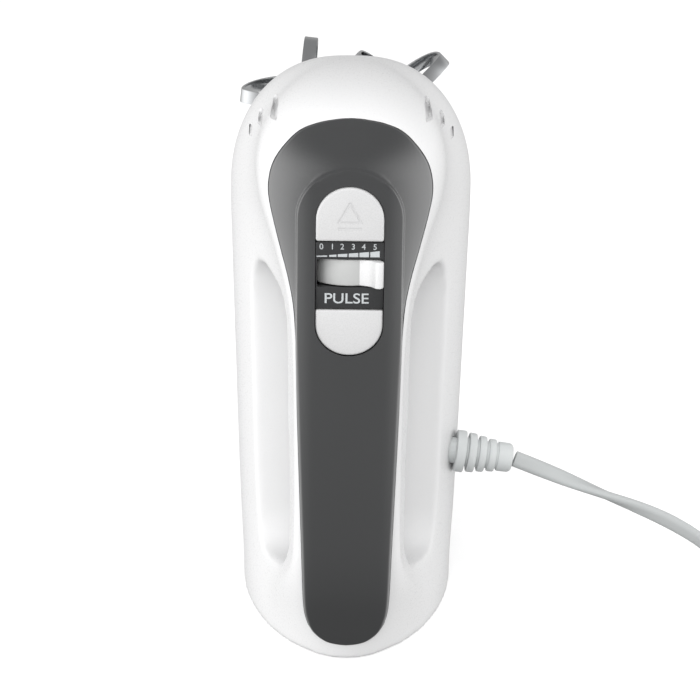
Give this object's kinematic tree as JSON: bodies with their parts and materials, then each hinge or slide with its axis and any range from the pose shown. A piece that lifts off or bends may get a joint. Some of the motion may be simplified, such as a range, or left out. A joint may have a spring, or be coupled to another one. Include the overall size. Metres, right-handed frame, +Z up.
{
  "type": "hand mixer",
  "caption": "Hand mixer standing on its heel, nose up: white oval body with a dark handle cover, speed drum, push buttons, wire-strip beaters and a mains lead.",
  "frame": {"origin": "on the surface it stands on, under the middle of the heel", "axes": "+Z up towards the nose, -Y out of the handle, +Y along the beaters, +X towards the mains lead"},
  "size_m": [0.2877, 0.257, 0.1942],
  "materials": {
    "housing": "smooth white satin plastic",
    "cover": "dark slate grey satin plastic",
    "button": "smooth white plastic",
    "lead": "light grey flexible vinyl",
    "steel": "steel",
    "chrome": "bright chrome-plated steel wire strip",
    "copper": "enamelled copper winding",
    "iron": "laminated electrical steel",
    "nylon": "natural nylon",
    "black": "black plastic",
    "board": "green circuit board",
    "carbon": "carbon",
    "brass": "brass",
    "zinc": "die-cast metal"
  },
  "bodies": {
    "body": {"main_housing": "housing", "lower_housing": "housing", "housing_screw_1": "steel", "housing_screw_2": "steel", "housing_screw_3": "steel", "housing_screw_4": "steel", "handle_cover": "cover", "control_plate": "cover", "eject_guide": "nylon", "pulse_guide": "nylon", "speed_switch": "black", "pulse_microswitch": "black", "eject_spring": "steel", "pulse_spring": "steel", "gearbox_frame": "zinc", "front_bearing": "brass", "stator_core": "iron", "field_coil_upper": "copper", "field_coil_lower": "copper", "rear_bracket": "zinc", "rear_bearing": "brass", "brush_holder_left": "brass", "carbon_brush_left": "carbon", "brush_holder_right": "brass", "carbon_brush_right": "carbon", "circuit_board": "board", "cord_clamp": "nylon", "strain_relief": "lead", "power_cord": "lead", "cord_coil": "lead", "cord_tie": "black", "plug_lead": "lead", "plug_pin_right": "brass", "plug_pin_left": "brass", "plug_body": "lead"},
    "rotor": {"armature_shaft": "steel", "armature_core": "iron", "armature_winding_rear": "copper", "armature_winding_front": "copper", "commutator": "copper", "cooling_fan": "nylon"},
    "left_drive": {"worm_gear_left": "nylon", "beater_socket_left": "steel"},
    "right_drive": {"worm_gear_right": "nylon", "beater_socket_right": "steel"},
    "left_beater": {"beater_shaft_left": "chrome", "beater_collar_left": "black", "beater_loop_left_a": "chrome", "beater_loop_left_b": "chrome"},
    "right_beater": {"beater_shaft_right": "chrome", "beater_collar_right": "black", "beater_loop_right_a": "chrome", "beater_loop_right_b": "chrome"},
    "eject_control": {"eject_button": "button", "eject_plunger": "nylon"},
    "speed_control": {"speed_drum": "button"},
    "pulse_control": {"pulse_button": "button"}
  },
  "joints": [
    {"name": "rotor_spin", "type": "hinge", "parent": "body", "child": "rotor", "pos_m": [0, 0.026, 0.1], "axis": [0, 0, 1], "continuous": true},
    {"name": "left_gear_spin", "type": "hinge", "parent": "body", "child": "left_drive", "pos_m": [-0.019, 0.026, 0.1668], "axis": [0, 1, 0], "continuous": true},
    {"name": "right_gear_spin", "type": "hinge", "parent": "body", "child": "right_drive", "pos_m": [0.019, 0.026, 0.1668], "axis": [0, 1, 0], "continuous": true},
    {"name": "left_beater_pull", "type": "slide", "parent": "left_drive", "child": "left_beater", "axis": [0, 1, 0], "range_m": [0, 0.045]},
    {"name": "right_beater_pull", "type": "slide", "parent": "right_drive", "child": "right_beater", "axis": [0, 1, 0], "range_m": [0, 0.045]},
    {"name": "eject_press", "type": "slide", "parent": "body", "child": "eject_control", "axis": [0, 1, 0], "range_m": [0, 0.006], "stiffness_N_per_m": 400, "springref_m": -0.003, "deforming": ["eject_spring"]},
    {"name": "speed_turn", "type": "hinge", "parent": "body", "child": "speed_control", "pos_m": [0, -0.0549, 0.1357], "axis": [0, 0, -1], "range_deg": [0, 58]},
    {"name": "pulse_press", "type": "slide", "parent": "body", "child": "pulse_control", "axis": [0, 1, 0], "range_m": [0, 0.0025], "stiffness_N_per_m": 500, "springref_m": -0.002, "deforming": ["pulse_spring"]}
  ],
  "couplings": [
    {"joint": "left_gear_spin", "follows": "rotor_spin", "ratio": 0.05},
    {"joint": "right_gear_spin", "follows": "rotor_spin", "ratio": -0.05}
  ]
}
